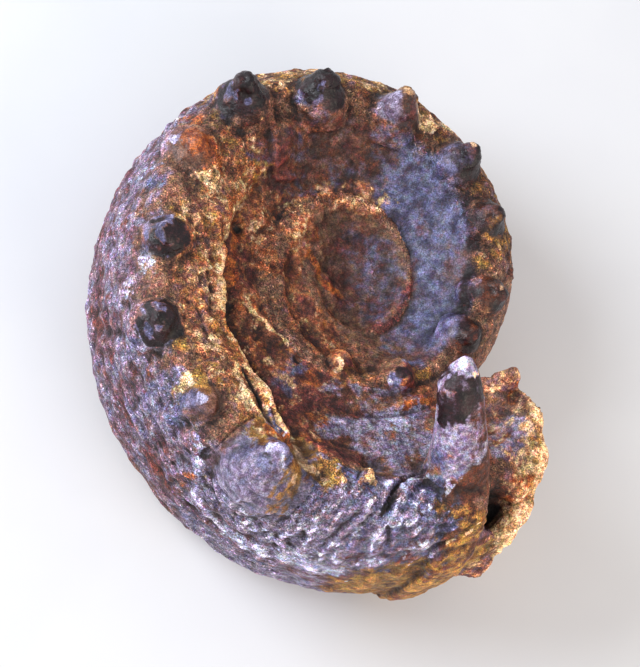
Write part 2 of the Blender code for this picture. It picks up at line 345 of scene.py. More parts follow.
def spike_frame(tubercle, side):
    """Foot and direction of a tubercle on the upper (1) or lower (-1) shoulder."""
    turn = math.radians(tubercle.angle)
    outward = Vector((math.cos(turn), math.sin(turn), 0.0))
    lean = math.radians(tubercle.lean)
    direction = outward * math.sin(lean) + Vector((0.0, 0.0, side * math.cos(lean)))
    base = outward * tubercle.radius
    base.z = side * surface_height(tubercle.angle, tubercle.radius)
    return base, direction


def add_spike(bm, tubercle, side):
    """Blunt cone with a flared foot, whose foot is sunk into the surface."""
    base, direction = spike_frame(tubercle, side)
    across = direction.orthogonal().normalized()
    along = direction.cross(across)
    stops = [
        (-ROOT_DEPTH, 1.35),
        (0.0, 1.15),
        (0.30 * tubercle.length, 0.85),
        (0.75 * tubercle.length, 0.50),
        (tubercle.length, TIP_RATIO),
    ]
    rings = []
    for height, ratio in stops:
        reach = tubercle.base * ratio
        centre = base + direction * height
        rings.append(circle_ring(centre, across * reach, along * reach, SPIKE_SIDES))
    add_loft(bm, rings)


def lower_twin(tubercle):
    return tubercle._replace(
        radius=tubercle.radius * LOWER_INSET,
        base=tubercle.base * LOWER_BASE,
        length=tubercle.length * LOWER_LENGTH,
    )


def add_flared_rib(bm):
    """Rib that rings the whorl, from the upper ledge over the venter to the lower one."""
    start, finish = RIB_ANGLES
    inner = 0.93 * float(sections_at(start).ledge)
    profile = [p for p in zip(*upper_profile(start)) if p[0] > inner]
    path = profile + [(r, -z) for r, z in reversed(profile[:-1])]
    middle = (len(path) - 1) / 2.0
    centres = []
    for i, (radius, height) in enumerate(path):
        share = 1.0 - abs(i - middle) / middle
        angle = start + (finish - start) * share
        centres.append(Vector(coil_points(angle, np.array(radius), np.array(height))))
    rings = []
    for i, centre in enumerate(centres):
        ahead = centres[min(i + 1, len(centres) - 1)] - centres[max(i - 1, 0)]
        ahead.normalize()
        share = 1.0 - abs(i - middle) / middle
        swell = 1.0 - (1.0 - RIB_VENTER_HEIGHT) * share
        radial = Vector((centre.x, centre.y, 0.0)).normalized()
        sideways = Vector((0.0, 0.0, 1.0)).cross(radial)
        sideways = (sideways - ahead * sideways.dot(ahead)).normalized()
        outward = sideways.cross(ahead) * (RIB_HALF_HEIGHT * swell)
        rings.append(circle_ring(centre, sideways * RIB_HALF_WIDTH, outward, 16))
    add_loft(bm, rings)


def add_bent_cone(bm, listed):
    """Round horn that follows the listed centres and radii."""
    centres = [Vector(centre) for centre, radius in listed]
    rings = []
    for i, (centre, (_, radius)) in enumerate(zip(centres, listed)):
        ahead = centres[min(i + 1, len(centres) - 1)] - centres[max(i - 1, 0)]
        along = ahead.cross(Vector((1.0, 0.0, 0.0))).normalized()
        across = along.cross(ahead).normalized()
        rings.append(circle_ring(centre, across * radius, along * radius, SPIKE_SIDES))
    add_loft(bm, rings)


def fused_mesh(name):
    """One closed skin over the coil and everything that stands on it."""
    bm = bmesh.new()
    add_loft(bm, whorl_rings())
    for tubercle in TUBERCLES:
        add_spike(bm, tubercle, 1.0)
        add_spike(bm, lower_twin(tubercle), -1.0)
    add_spike(bm, BIG_TUBERCLE_BELOW, -1.0)
    add_bent_cone(bm, CONE_RINGS)
    add_flared_rib(bm)
    add_bent_cone(bm, SPINE_RINGS)
    centre_radius = 0.5 * float(sections_at(FIRST_ANGLE + 360.0).venter)
    bmesh.ops.create_uvsphere(bm, u_segments=16, v_segments=8, radius=centre_radius)
    bmesh.ops.recalc_face_normals(bm, faces=bm.faces)
    rough = add_object(name, finished(bm, name))
    remesh = rough.modifiers.new("fuse", "REMESH")
    remesh.mode = "VOXEL"
    remesh.voxel_size = VOXEL
    smooth = rough.modifiers.new("smooth", "SMOOTH")
    smooth.factor = 0.5
    smooth.iterations = SMOOTHING_PASSES
    return applied(rough)


def add_object(name, data, place=Matrix()):
    """New object in the scene."""
    made = bpy.data.objects.new(name, data)
    made.matrix_world = place
    bpy.context.scene.collection.objects.link(made)
    return made


def finished(bm, name):
    """Mesh of a bmesh, which goes."""
    mesh = bpy.data.meshes.new(name)
    bm.to_mesh(mesh)
    bm.free()
    return mesh


def applied(obj):
    """Mesh of an object with its modifiers applied; the object goes."""
    depsgraph = bpy.context.evaluated_depsgraph_get()
    mesh = bpy.data.meshes.new_from_object(obj.evaluated_get(depsgraph))
    bpy.data.objects.remove(obj)
    return mesh


# ================================================================ places on the coil
class Surface:
    """The vertices of the skin, and where each lies on the coil."""

    def __init__(self, mesh):
        count = len(mesh.vertices)
        flat = np.empty(count * 3, dtype=np.float32)
        mesh.vertices.foreach_get("co", flat)
        self.points = flat.reshape(-1, 3).astype(float)
        mesh.vertex_normals.foreach_get("vector", flat)
        self.normals = flat.reshape(-1, 3).astype(float)
        self.x, self.y, self.z = self.points.T
        self.radius = np.hypot(self.x, self.y)
        self.turn = np.degrees(np.arctan2(self.y, self.x)) % 360.0
        self.upper = ramp(self.z, -2.0, 2.0)
        self._find_whorl()
        self._find_across()

    def _find_whorl(self):
        """Shell angle of each point: that of the outermost whorl that reaches it."""
        share = end_lag(self.radius) / (LAST_ANGLE - END_LAG_START)
        sheared = END_LAG_START + (self.turn - END_LAG_START) / (1.0 - share)
        outer = np.where(self.turn > END_LAG_START, sheared, self.turn)
        self.angle = self.turn - 360.0 * 3
        for turns in (-2, -1):
            candidate = self.turn + 360.0 * turns
            reached = self.radius >= sections_at(candidate).seam
            self.angle = np.where(reached, candidate, self.angle)
        reached = (self.radius >= sections_at(outer).seam) & (outer < LAST_ANGLE + 3.0)
        self.angle = np.where(reached, outer, self.angle)
        self.last = reached

    def _find_across(self):
        """0 at the seam, 1 at the ledge, 2 at the shoulder and 3 at the middle plane."""
        s = sections_at(self.angle)
        self.section = s
        wall = np.clip((self.radius - s.seam) / (s.ledge - s.seam), 0.0, 1.0)
        flank = np.clip((self.radius - s.ledge) / (s.shoulder - s.ledge), 0.0, 1.0)
        bow = np.arctan2(self.radius - s.shoulder, np.abs(self.z)) / (0.5 * np.pi)
        self.across = wall + flank + np.clip(bow * (self.radius > s.shoulder), 0.0, 1.0)

    def near(self, place, reach):
        """1 at a place, falling to 0 at reach; a plan place is on the upper side."""
        away = np.linalg.norm(self.points[:, : len(place)] - np.array(place), axis=1)
        share = 1.0 - ramp(away / reach, 0.25, 1.0)
        return share * self.upper if len(place) == 2 else share

    def from_path(self, path):
        """Distance to a line, share of the way along it, and 1 on its right or -1.

        A line of plan places runs on the upper side."""
        places = self.points[:, : len(path[0])]
        best = np.full(len(places), 1e9)
        along = np.zeros(len(places))
        side = np.ones(len(places))
        for k, (start, end) in enumerate(zip(np.array(path), np.array(path[1:]))):
            step = end - start
            offset = places - start
            t = np.clip(offset @ step / (step @ step), 0.0, 1.0)
            away = np.linalg.norm(offset - t[:, None] * step, axis=1)
            turn = offset[:, 0] * step[1] - offset[:, 1] * step[0]
            along = np.where(away < best, (k + t) / (len(path) - 1), along)
            side = np.where(away < best, np.sign(turn), side)
            best = np.minimum(away, best)
        if len(path[0]) == 2:
            best = np.where(self.z > 0.0, best, 1e3)
        return best, along, side

    def warped(self):
        """The same surface a little wavered, for places with uneven borders."""
        other = copy.copy(self)
        waver = [noise(self.points, 5.0, 501 + 10 * axis, 3) for axis in range(3)]
        other.points = self.points + 1.5 * np.stack(waver, axis=1)
        return other

    def spike_heights(self, tubercle, side):
        """Distance from a tubercle's axis over its base, and height over its length."""
        base, direction = spike_frame(tubercle, side)
        offset = self.points - np.array(base)
        height = offset @ np.array(direction)
        away = np.linalg.norm(offset - height[:, None] * np.array(direction), axis=1)
        return away / tubercle.base, height / tubercle.length

    def push(self, amount):
        """Moves the vertices along their normals by so many millimetres."""
        self.points += self.normals * amount[:, None]


# ================================================================ relief
# A path of (x, y) places lies on the upper side, and one of (x, y, z) places where it says.
LEDGE_LINE = [
    (-37.6, 12), (-37.6, 5.6), (-36.8, 0), (-36.8, -6.4), (-36.5, -18.6), (-34.6, -23.5),
    (-32.5, -27.3), (-29.5, -31.9), (-27.8, -37.4), (-25, -44.6), (-21.5, -50),
]
SLIVER_LINE = [(-35.7, -29.2), (-34.1, -36.4), (-32.2, -41.5), (-30, -46)]
SLIT_LINE = [(-33, -31.5), (-31.6, -36.5), (-30.4, -41), (-28.2, -45.5)]
SEAM_LINE = [(-12, -36), (-1.3, -38.9), (7.5, -38.3), (14, -36.2), (19, -33.8)]
RIB_LINE = [  # groove round the foot of the swollen rib
    (23.6, -63, 31), (19.8, -68.3, 31.7), (17.3, -70.4, 30.1), (13.9, -72, 27.4), (11, -72.9, 22.8),
]
CRACK_LINE = [(9.4, -54.8), (4.4, -56.2), (-0.4, -60.7), (-2.8, -64.5), (-3.6, -66.9)]
CRACK_LIP = [(10.4, -56.4), (5.6, -58.2), (1.2, -62.4), (-1, -66), (-3.4, -71), (-2.1, -74.9)]
TONGUE_LINE = [(-9.9, 3.4), (-7, -0.2), (-4.2, -3.2), (-0.6, -5.6)]
VEIN_LINE = [(-28.4, -11.3), (-23.7, -16.5), (-19.5, -21.9)]
STEP_LINE = [(-23.8, 34), (-20.6, 20)]
ARC_LINE = [  # round the foot of the big cone, down the side of the whorl
    (-44.8, -47, 22), (-42.6, -52.2, 14.5), (-38.8, -57.5, 2), (-33.8, -61.8, 0), (-29.2, -65.1, 0),
    (-24.3, -68, 3.5),
]
CONE_EDGE = [(-39.6, -52.6, 25.5), (-37.4, -51.2, 29.5), (-35.5, -50, 31.4), (-31.8, -49.5, 32.8)]
CONE_FOOT = [
    (-40.9, -51.5, 23.5), (-39.6, -57, 18), (-36.2, -61.8, 19), (-32, -64.6, 20),
    (-28.5, -65.2, 22),
]
CONE_SLIT = [(-32.4, -54.6, 37), (-30.6, -57.6, 37.4)]
RIDGE_LINE = [(-60.3, -17.5, 23.5), (-58.8, -21.5, 26), (-56.8, -26.5, 26.5)]

CRACKS = [  # path, width, depth
    (CRACK_LINE, 0.42, 1.3), ([(0.4, -61.4), (-1.2, -64), (-2.2, -67.4)], 0.6, 1.4),
    ([(-1.6, -69.3), (0.3, -71.6)], 0.55, 1.5), ([(5.4, -65.9), (7.2, -67.5)], 0.5, 1.4),
    ([(-4.6, -66), (-7.6, -69.4), (-11, -72.6)], 0.8, 0.9),
    ([(-6.8, -64.4), (-10.6, -68.4), (-14, -71)], 0.8, 0.8),
    ([(11.4, -49.6), (12.8, -55.6), (11.6, -60.6)], 0.7, 0.7), (RIB_LINE, 0.6, 0.8),
    (SEAM_LINE, 0.8, 0.8), (SLIT_LINE, 0.6, 1.6), (CONE_SLIT, 0.8, 1), (CONE_FOOT, 0.8, 0.9),
    ([(-19, -43), (-9, -47.6), (-1, -49)], 0.8, 0.6),
    ([(-48.6, -14), (-44, -18), (-42.6, -24)], 0.7, 0.7),
    ([(-41, -5), (-40, -12), (-41.4, -18)], 0.7, 0.6),
]
LIPS = [  # path, half width, height
    (CRACK_LIP, 0.6, 0.9), (TONGUE_LINE, 2.2, 0.7), (VEIN_LINE, 0.9, 0.9), (SLIVER_LINE, 0.6, 0.6),
    (ARC_LINE, 1.6, 0.9), (CONE_EDGE, 0.8, 0.7), (RIDGE_LINE, 0.9, 0.9),
    ([(-21.5, 10.8), (-25.6, 12)], 1.5, 0.9), ([(-20.8, 6.4), (-24.4, 6)], 1.2, 0.9),
    ([(-36.4, -9), (-38.4, -14.6), (-38.2, -20)], 1.4, 0.6),
    ([(4, -36.8), (10, -35.4), (16, -32.6)], 1.3, 0.8),
]
HOLLOWS = [  # x, y, radius, depth
    (-22.5, -50.5, 6.5, 2.2), (-18.5, -57, 5, 1.4), (-30.4, 7.6, 2.4, 1.6), (29.5, -61.5, 4.5, 1.5),
    (-42.8, -50.2, 1.3, 0.9), (-16.8, -24.6, 1.8, 0.8), (-55, -28, 2.5, 0.6), (-47, -43.5, 3, 0.8),
]
PEBBLES = [  # x, y, radius, height
    (-6.1, -57.3, 1.8, 1.6), (-13.2, -59.2, 1.4, 1), (-14.8, -58.4, 0.9, 0.7),
    (-6.2, -25.7, 1.5, 0.9), (-24.6, 10.2, 1.6, 0.8), (-40.6, 18, 1.7, 0.8),
    (-38.4, 20.4, 1.4, 0.7), (-43.4, 17, 1.2, 0.6), (-40.5, -20.5, 1.4, 0.7),
    (-44.5, -27.5, 1.5, 0.7),
]


def on_tubercles(s, chosen, side=1.0, reach=1.15):
    """1 on the chosen tubercles and 0 off them."""
    waver = noise(s.points, 4.0, 407, 2)
    total = np.zeros(len(s.x))
    for tubercle in chosen:
        away, height = s.spike_heights(tubercle, side)
        away = away + 0.16 * waver
        body = (1.0 - ramp(away, reach - 0.25, reach)) * ramp(height, -0.35, 0.0)
        total = np.maximum(total, body)
    return total


def along_horn(s, listed, low, high):
    """1 on a bent cone, from a height up, and rings passed on the way to its tip."""
    nearest = np.full(len(s.x), 1e3)
    passed = np.zeros(len(s.x))
    for k, ((centre, wide), (following, narrow)) in enumerate(zip(listed, listed[1:])):
        start = np.array(centre)
        step = np.array(following) - start
        t = np.clip((s.points - start) @ step / (step @ step), 0.0, 1.0)
        away = np.linalg.norm(s.points - start - t[:, None] * step, axis=1)
        away -= wide + (narrow - wide) * t
        passed = np.where(away < nearest, k + t, passed)
        nearest = np.minimum(nearest, away)
    return (1.0 - ramp(nearest, 1.0, 2.5)) * ramp(s.z, low, high), passed


def seam_grooves(s):
    """Grooves along the seams, where a whorl lies against the one before it."""
    groove = np.exp(-(((s.radius - s.section.seam) / 1.5) ** 2))
    open_side = 0.6 * window(s.angle, -75.0, 44.0, 14.0)
    covered = 0.15 * window(s.angle, 62.0, 330.0, 10.0)
    wander = 0.8 + 0.4 * noise(s.points, 6.0, 61, 2)
    return -0.9 * groove * wander * np.where(s.z > 0.0, open_side + covered, 0.9)


def ledge_lip(s):
    """Broken rim of the ledge on the left, over a dark undercut."""
    away, along, side = s.from_path(LEDGE_LINE)
    offset = away * side + 1.0 * noise(s.points, 4.0, 71, 3)
    rim = np.exp(-(((offset - 0.5) / 0.6) ** 2))
    depth = 1.0 + 2.2 * ramp(along, 0.25, 0.55)
    under = np.exp(-(((offset + 2.2) / 1.5) ** 2)) * depth
    return (0.9 * rim - under) * (1.0 - ramp(along, 0.93, 1.0)) * ramp(along, 0.02, 0.1)


def venter_ribs(s):
    """Low irregular ribs across the outer side of the last whorl."""
    wander = 5.0 * smooth_noise(s.points, 14.0, 81)
    wave = np.sin(np.radians((s.angle + wander) * 360.0 / 5.3))
    uneven = 0.6 + 0.5 * smooth_noise(s.points, 9.0, 82)
    place = ramp(s.across, 2.05, 2.5) * s.last
    strong = window(s.angle, 140.0, 268.0, 16.0)
    return 0.36 * wave * uneven * place * (0.3 + 0.7 * strong)


def venter_streaks(s):
    """Shallow streaks that run along the shell on its outer side."""
    along = np.radians(s.angle) * 0.5 * (s.radius + 60.0)
    flow = np.stack([along / 6.0, s.radius / 1.6, s.z / 1.6], axis=1)
    place = ramp(s.across, 1.9, 2.3) * s.last
    calm = window(s.angle, 258.0, 300.0, 8.0)
    return 0.45 * noise(flow, 1.0, 85, 2) * place * (1.0 - 0.85 * calm)


def growth_lines(s):
    """Fine lines across the wall and the flank, slanting forward as they go out."""
    spread = s.radius / np.maximum(s.section.venter, 1.0)
    phase = (s.angle - 60.0 * spread + 2.0 * smooth_noise(s.points, 10.0, 91)) / 2.3
    wave = np.sin(2.0 * np.pi * phase)
    place = ramp(s.across, 0.15, 0.4) * (1.0 - ramp(s.across, 1.7, 2.1))
    return 0.10 * wave * place * (0.5 + 0.5 * smooth_noise(s.points, 5.0, 92))


def slant_streaks(s):
    """Crystalline streaks that slant across the shoulder at the lower end, from -1 to 1."""
    along = 0.62 * s.x + 0.78 * s.y
    across = 0.78 * s.x - 0.62 * s.y
    flow = np.stack([along / 5.0, across / 1.2, s.z / 3.5], axis=1)
    return noise(flow, 1.0, 151, 3)


def shoulder_crystals(s):
    """Where the crystalline streaks lie."""
    return s.last * s.upper * window(s.angle, 242.0, 281.0, 6.0) * window(s.across, 1.4, 2.5, 0.2)


def crystal_relief(s):
    return 0.45 * slant_streaks(s) * shoulder_crystals(s)


def end_arcs(s):
    """Fine arcs that follow the venter near the broken end."""
    wave = np.sin(2.0 * np.pi * (s.radius + 0.6 * smooth_noise(s.points, 8.0, 95)) / 1.9)
    return 0.20 * wave * window(s.angle, 250.0, 300.0, 8.0) * ramp(s.across, 1.9, 2.2)


def crust_band(s):
    """Raised band of crust over the top of the middle disc, undercut on its outer side."""
    wander = 1.4 * noise(s.points, 5.0, 101, 3)
    outer = 23.0 + wander
    band = ramp(s.radius, 15.5, 17.5) * (1.0 - ramp(s.radius, outer - 0.9, outer + 0.3))
    under = np.exp(-(((s.radius - outer - 0.9) / 1.2) ** 2))
    place = s.upper * window(s.turn, 62.0, 140.0, 14.0)
    return place * (0.55 * band - 0.25 * under)


def wall_step(s):
    """Edge of a thick crust that covers the inner wall at the upper left."""
    away, along, side = s.from_path(STEP_LINE)
    offset = -away * side + 0.7 * smooth_noise(s.points, 4.0, 103)
    place = ramp(along, 0.0, 0.15) * (1.0 - ramp(along, 0.9, 1.0))
    fade = 1.0 - ramp(offset, 2.5, 12.0)
    return 1.5 * place * ramp(offset, -0.6, 0.3) * fade


def crusts(s):
    """Granular crust, strongest on the floor and walls of the umbilicus on the left."""
    left = window(s.turn, 108.0, 300.0, 20.0) * (1.0 - ramp(s.across, 1.7, 2.1))
    rim = window(s.across, 1.6, 2.6, 0.3) * window(s.turn, -1.0, 135.0, 15.0)
    place = 0.2 + 0.55 * np.clip(left + 0.5 * rim, 0.0, 1.0)
    grains = np.clip(noise(s.points, 2.4, 111, 3) - 0.05, 0.0, 1.0)
    pits = ridges(s.points, 4.5, 121)
    return 0.7 * grains * place - 0.12 * pits * place


def calm_places(s):
    """1 where the stone is worn smooth: the open bowl, the horns and the lower end."""
    east = np.maximum(window(s.turn, 300.0, 361.0, 12.0), window(s.turn, -1.0, 130.0, 16.0))
    bowl = s.upper * east * (1.0 - ramp(s.across, 1.2, 1.7)) * (s.angle < 150.0)
    belly = window(s.angle, 262.0, 300.0, 8.0) * ramp(s.across, 1.9, 2.3) * s.last
    knobs = on_tubercles(s, TUBERCLES)
    horns = along_horn(s, CONE_RINGS, 14.0, 22.0)[0] + along_horn(s, SPINE_RINGS, 30.0, 35.0)[0]
    floor = s.upper * window(s.turn, 132.0, 300.0, 14.0) * (1.0 - ramp(s.across, 0.9, 1.3))
    disc = s.upper * (1.0 - ramp(s.radius, 14.0, 17.5))
    worn = 0.8 * bowl + belly + 0.7 * knobs + 0.9 * horns + 0.55 * floor + 0.6 * disc
    worn += 0.5 * ramp(s.angle, 300.0, 306.0) * s.last
    return np.clip(worn, 0.0, 0.95)


def tubercle_marks(s):
    """Blunt broken tips and a groove round the foot of each tubercle but the first two, and rings
    and a groove round the foot of the big cone.
    """
    amount = np.zeros(len(s.x))
    for tubercle in TUBERCLES[2:]:
        away, height = s.spike_heights(tubercle, 1.0)
        foot = np.exp(-(((away - 1.15) / 0.2) ** 2)) * (1.0 - ramp(np.abs(height), 0.2, 0.7))
        amount -= 0.4 * foot * s.upper * (0.6 + 0.6 * noise(s.points, 3.0, 135, 2))
        knob = (1.0 - ramp(away, 0.5, 0.95)) * (height > 0.0)
        amount += 1.0 * knob * noise(s.points, 3.6, 131, 3)
    cone, risen = along_horn(s, CONE_RINGS, 14.0, 22.0)
    foot = np.exp(-(((cone - 0.35) / 0.25) ** 2)) * ramp(s.z, 14.0, 22.0)
    rings = np.sin(2.0 * np.pi * risen * 1.7 + 1.5 * smooth_noise(s.points, 6.0, 133))
    return amount + 0.13 * rings * cone - 0.6 * foot


def end_break(s):
    """Rugged rock of the broken end."""
    place = ramp(s.angle, 300.0, 308.0) * s.last * ramp(s.radius, 36.0, 42.0)
    return place * (1.1 * noise(s.points, 8.0, 141, 2) - 0.5 * ridges(s.points, 9.0, 145))


def relief(s):
    """Height of the stone's relief over the plain form, in millimetres."""
    rough = 1.0 - 0.8 * calm_places(s)
    amount = 0.50 * noise(s.points, 9.0, 11, 2)
    amount += 0.32 * rough * noise(s.points, 3.8, 21, 2)
    amount += 0.13 * rough * noise(s.points, 1.7, 31, 2)
    for part in (
        seam_grooves,
        ledge_lip,
        venter_ribs,
        venter_streaks,
        growth_lines,
        crystal_relief,
        end_arcs,
        crust_band,
        wall_step,
        crusts,
        tubercle_marks,
        end_break,
    ):
        amount += part(s)
    low = 1.0 - along_horn(s, SPINE_RINGS, 30.0, 35.0)[0]
    amount *= 0.35 + 0.65 * low
    for path, width, depth in CRACKS:
        away, along, side = s.from_path(path)
        taper = np.sin(np.pi * np.clip(along, 0.06, 0.94)) ** 0.5
        amount -= low * depth * taper * np.exp(-((away / width) ** 2))
    for path, width, height in LIPS:
        away, along, side = s.from_path(path)
        taper = np.sin(np.pi * np.clip(along, 0.04, 0.96)) ** 0.6
        amount += low * height * taper * np.exp(-((away / width) ** 2))
    for x, y, size, depth in HOLLOWS:
        amount -= depth * s.near((x, y), size)
    for x, y, size, height in PEBBLES:
        away = np.hypot(s.x - x, s.y - y) / size
        amount += s.upper * height * np.sqrt(np.clip(1.0 - away**2, 0.0, 1.0))
    return amount


# ================================================================ minerals, and painted light and shade
# Round places of a mineral, some of them painted shade in pits: x and y on the upper side or x, y
# and z, then reach and share.
SPOTS = {
    "slate": [
        (-51.9, 15, 5, 0.6), (-53, -36, 6, 0.65), (-49.5, -40.5, 4.5, 0.8), (-58.3, -24.3, 3, 0.8),
        (3.5, -66, 33, 6.5, 1.2), (0.5, -69.5, 29, 5, 1.1), (8, -60.5, 33, 5, 1.1),
        (10.5, -57, 36, 3.5, 0.9), (6.8, -30.2, 3.4, 1), (1, -43, 4, 0.6), (3.5, -50, 3.5, 0.6),
        (-17, -26, 4, 0.8), (-20.5, -31, 6, 0.6), (-13.5, 40, 4.5, 0.9), (7, 38.5, 4.5, 0.5),
        (21.5, 26.5, 4.5, 0.8), (21, 4, 5, 0.8), (19, -6, 5, 0.8), (33, -49, 6, 0.5),
        (-56, -3, 3.5, 0.6), (-35, 34.5, 3, 0.7),
    ],
    "lilac": [
        (-8, -31.8, 5, 0.7), (7, 39, 5, 0.7), (-57, 8, 10, 0.5), (-53, -36, 9, 0.5),
        (-55.5, -27, 8, 0.5), (-50, -47, 9, 0.4), (34, -43, 8, 0.6), (9, -46, 8, 0.8),
        (2, -52, 6, 0.6), (29, -49, 5, 0.5),
    ],
    "pale": [
        (-59.5, -9.6, 19.5, 6, 0.5), (-56, -6, 26, 5, 0.5), (-47.6, 26, 3.2, 0.5),
        (-46.8, -41, 2, 0.7), (8, 41, 3.2, 0.6), (-8, -74.3, 6, 6, 0.9), (-16.5, -72, 5, 9, 0.85),
        (-25, -68.3, 0, 8, 0.8), (-31, -64, -1, 5, 0.7), (5, -30.8, 1.8, 0.9),
        (-30.4, -53.5, 37.6, 3.2, 0.7), (-53, 21, 3.6, 0.5), (-8, -64, 5, 0.3),
        (12.5, -48.5, 3.2, 0.7), (5, -40.5, 5.5, 0.75),
    ],
    "wine": [
        (-45.5, -50.2, 2.5, 5, 0.6), (-57.6, -26, 12, 5, 0.5), (-3, 33, 10, 0.3),
        (-27.2, -54.4, 38, 1.8, 0.9), (-40.5, -53, 22, 3, 0.6),
    ],
    # the umber spot at (29, -60) over the deep pit is painted shade
    "umber": [
        (-10, -45, 11, 0.7), (-24, -23, 9, 0.7), (-29, -15, 7, 0.6), (29, -60, 6.5, 1),
        (13, -66.5, 8, 0.9), (18.6, -61, 5, 0.8), (24.5, -45, 6, 0.5), (-28, 31, 5, 0.5),
        (30, 22, 6, 0.6), (15, 33, 3.5, 0.8),
    ],
    "tan": [
        (-29, 24, 9, 0.6), (-24, 4, 12, 0.6), (-12, -12, 12, 0.5), (-4, -24, 12, 0.55),
        (-2, 20, 8, 0.3), (12, -30, 10, 0.4), (-13, 18, 8, 0.45),
    ],
    "rust": [
        (-42.6, 24, 6.5, 0.9), (-42.5, 33, 3.6, 0.8), (-40, 20, 6, 0.55), (-26, -47.5, 3.4, 0.9),
        (34.4, -56.7, 4.5, 0.7), (34.7, -33.8, 2.6, 0.8), (-34, 14, 4.5, 0.6),
        (-27, -64, 26.5, 2.2, 0.8), (-41, -54, 17, 2.6, 0.5), (14.5, -34.4, 3, 0.7),
        (-44, -53.5, 3.5, 0.5),
    ],
    "ochre": [
        (-22.5, -50.5, 7, 1), (-16.5, -57, 6, 1), (-25, -60, 32, 4, 0.9), (-24.5, -57, 34, 3, 0.8),
        (-27.4, -63.6, 27.5, 3, 0.7), (-33, -47.6, 6, 0.7), (-48.4, 6.5, 3, 1),
        (-50.6, -25.6, 4.5, 0.8), (-47, -36.5, 5, 0.8), (-40, 15, 7, 0.4), (31.5, 1, 4, 0.7),
        (14.6, -27, 4.2, 0.9), (-22.5, -55, 32.4, 4, 0.8), (-1, -27.5, 7, 0.35), (34, 9, 5, 0.6),
    ],
    "cream": [
        (-6.1, -57.3, 2.1, 1.8), (-13.2, -59.2, 1.8, 1.6), (-6.2, -25.7, 2.2, 1.2),
        (-24.6, 10.2, 2.4, 1), (-22.4, 6.5, 2.2, 0.8), (-40.6, 17.6, 4, 0.8),
        (18.6, 37.6, 5.2, 1.1), (30, 32, 5, 0.7), (26, 38, 5, 0.7), (11.5, 41, 2.5, 0.9),
        (2.7, 45.5, 4.5, 0.5), (36, -64.4, 9, 1), (-48.4, -36, 3.4, 0.7), (-48.6, 6, 2, 0.6),
        (-42, -25, 6, 0.45), (-24.6, -58.8, 33.6, 2.4, 0.9), (42, -47, 5, 0.6), (31.4, 4, 2.5, 0.6),
    ],
    # the dark spots over the pits of HOLLOWS are painted shade
    "dark": [
        (-30.2, 7.8, 1.9, 1), (29.6, -61, 4.4, 1), (-42.8, -50.2, 1.4, 0.8), (9.4, -28.4, 3.4, 1),
        (-16.8, -24.6, 1.6, 0.7),
    ],
}
# Long places of a mineral, some of them painted shade in cracks, slits, seams and under edges:
# path, half width and share.
STROKES = {
    "slate": [([(-2.8, -64.5), (-6.4, -68.4), (-10.7, -72.8)], 3, 0.8)],
    "lilac": [
        ([(-26, -62), (-14, -67), (-4, -67)], 7, 0.55),
        ([(-12, -42.5), (-3, -41.8), (5, -40), (13, -37)], 4.5, 0.75),
    ],
    "pale": [
        (CRACK_LIP, 0.7, 0.8),
        (ARC_LINE, 2.6, 0.6),
        ([(-31, -51, 35), (-30, -54, 38), (-29.2, -57.5, 37.6)], 1.5, 0.6),
        (RIDGE_LINE, 1, 0.7),
    ],
    "wine": [
        # painted shade: along the disc's seam on the right, along SEAM_LINE and in the cone's slit
        ([(18.2, 16.6), (17.2, 9), (16, -1), (12.2, -9.6), (5, -14.2)], 1.6, 0.9),
        (SEAM_LINE, 1.6, 0.7),
        (CONE_SLIT, 1.3, 1),
    ],
    "umber": [
        # painted shade: at the cone's foot, under the ledge on the left, in the slit and in the
        # crack
        (CONE_FOOT, 1.5, 0.9),
        ([(-34, -8), (-33.4, -17), (-30, -25), (-26.2, -32), (-24, -38)], 3.4, 1),
        (SLIT_LINE, 1.3, 1),
        (CRACK_LINE, 1.2, 0.9),
    ],
    "rust": [
        ([(-33.6, 13), (-32, 7), (-31.6, 0.5), (-33, -6)], 2.6, 0.9),
        (TONGUE_LINE, 2.6, 0.6),
        ([(9.5, -36.4), (16.8, -34.6)], 1.6, 0.9),
        ([(-30, -47.4), (-25.5, -47.6), (-22, -50)], 1.6, 0.9),
    ],
    "cream": [
        (LEDGE_LINE[3:], 2.2, 0.85),
        (SLIVER_LINE, 1.1, 0.8),
        (CONE_EDGE, 1, 0.8),
        ([(19.5, -50, 44), (21.5, -57, 36), (22.6, -63, 31)], 1.1, 0.9),
        (VEIN_LINE, 1.1, 0.9),
        (RIB_LINE, 0.6, 0.7),
        ([(-17, -58.6), (-21, -55.4), (-23.2, -50.8)], 1.4, 0.7),
        ([(35.6, 12), (36, 3), (34.6, -6)], 1.2, 0.5),
    ],
    "dark": [
        # painted shade in the crack and the slits
        (CRACK_LINE, 0.5, 0.7),
        (SLIT_LINE, 0.9, 0.7),
        (CONE_SLIT, 0.9, 0.6),
        ([(23.4, 28.5), (27, 20.5), (29.4, 11), (29, 1), (26.8, -9.5), (24.5, -17)], 3, 0.6),
    ],
    "ochre": [([(-20, 46), (-8, 47.6), (6, 46), (18, 40)], 4, 0.6)],
}
BLACK_KNOBS = (7, 8, 10, 11)  # the dark tubercles, counted from 0


def placed(s, name):
    """Highest share of a mineral among its listed places."""
    total = np.zeros(len(s.x))
    for *place, reach, share in SPOTS.get(name, []):
        total = np.maximum(total, share * s.near(place, reach))
    for path, width, share in STROKES.get(name, []):
        away, along, side = s.from_path(path)
        total = np.maximum(total, share * (1.0 - ramp(away, 0.3 * width, width)))
    return total


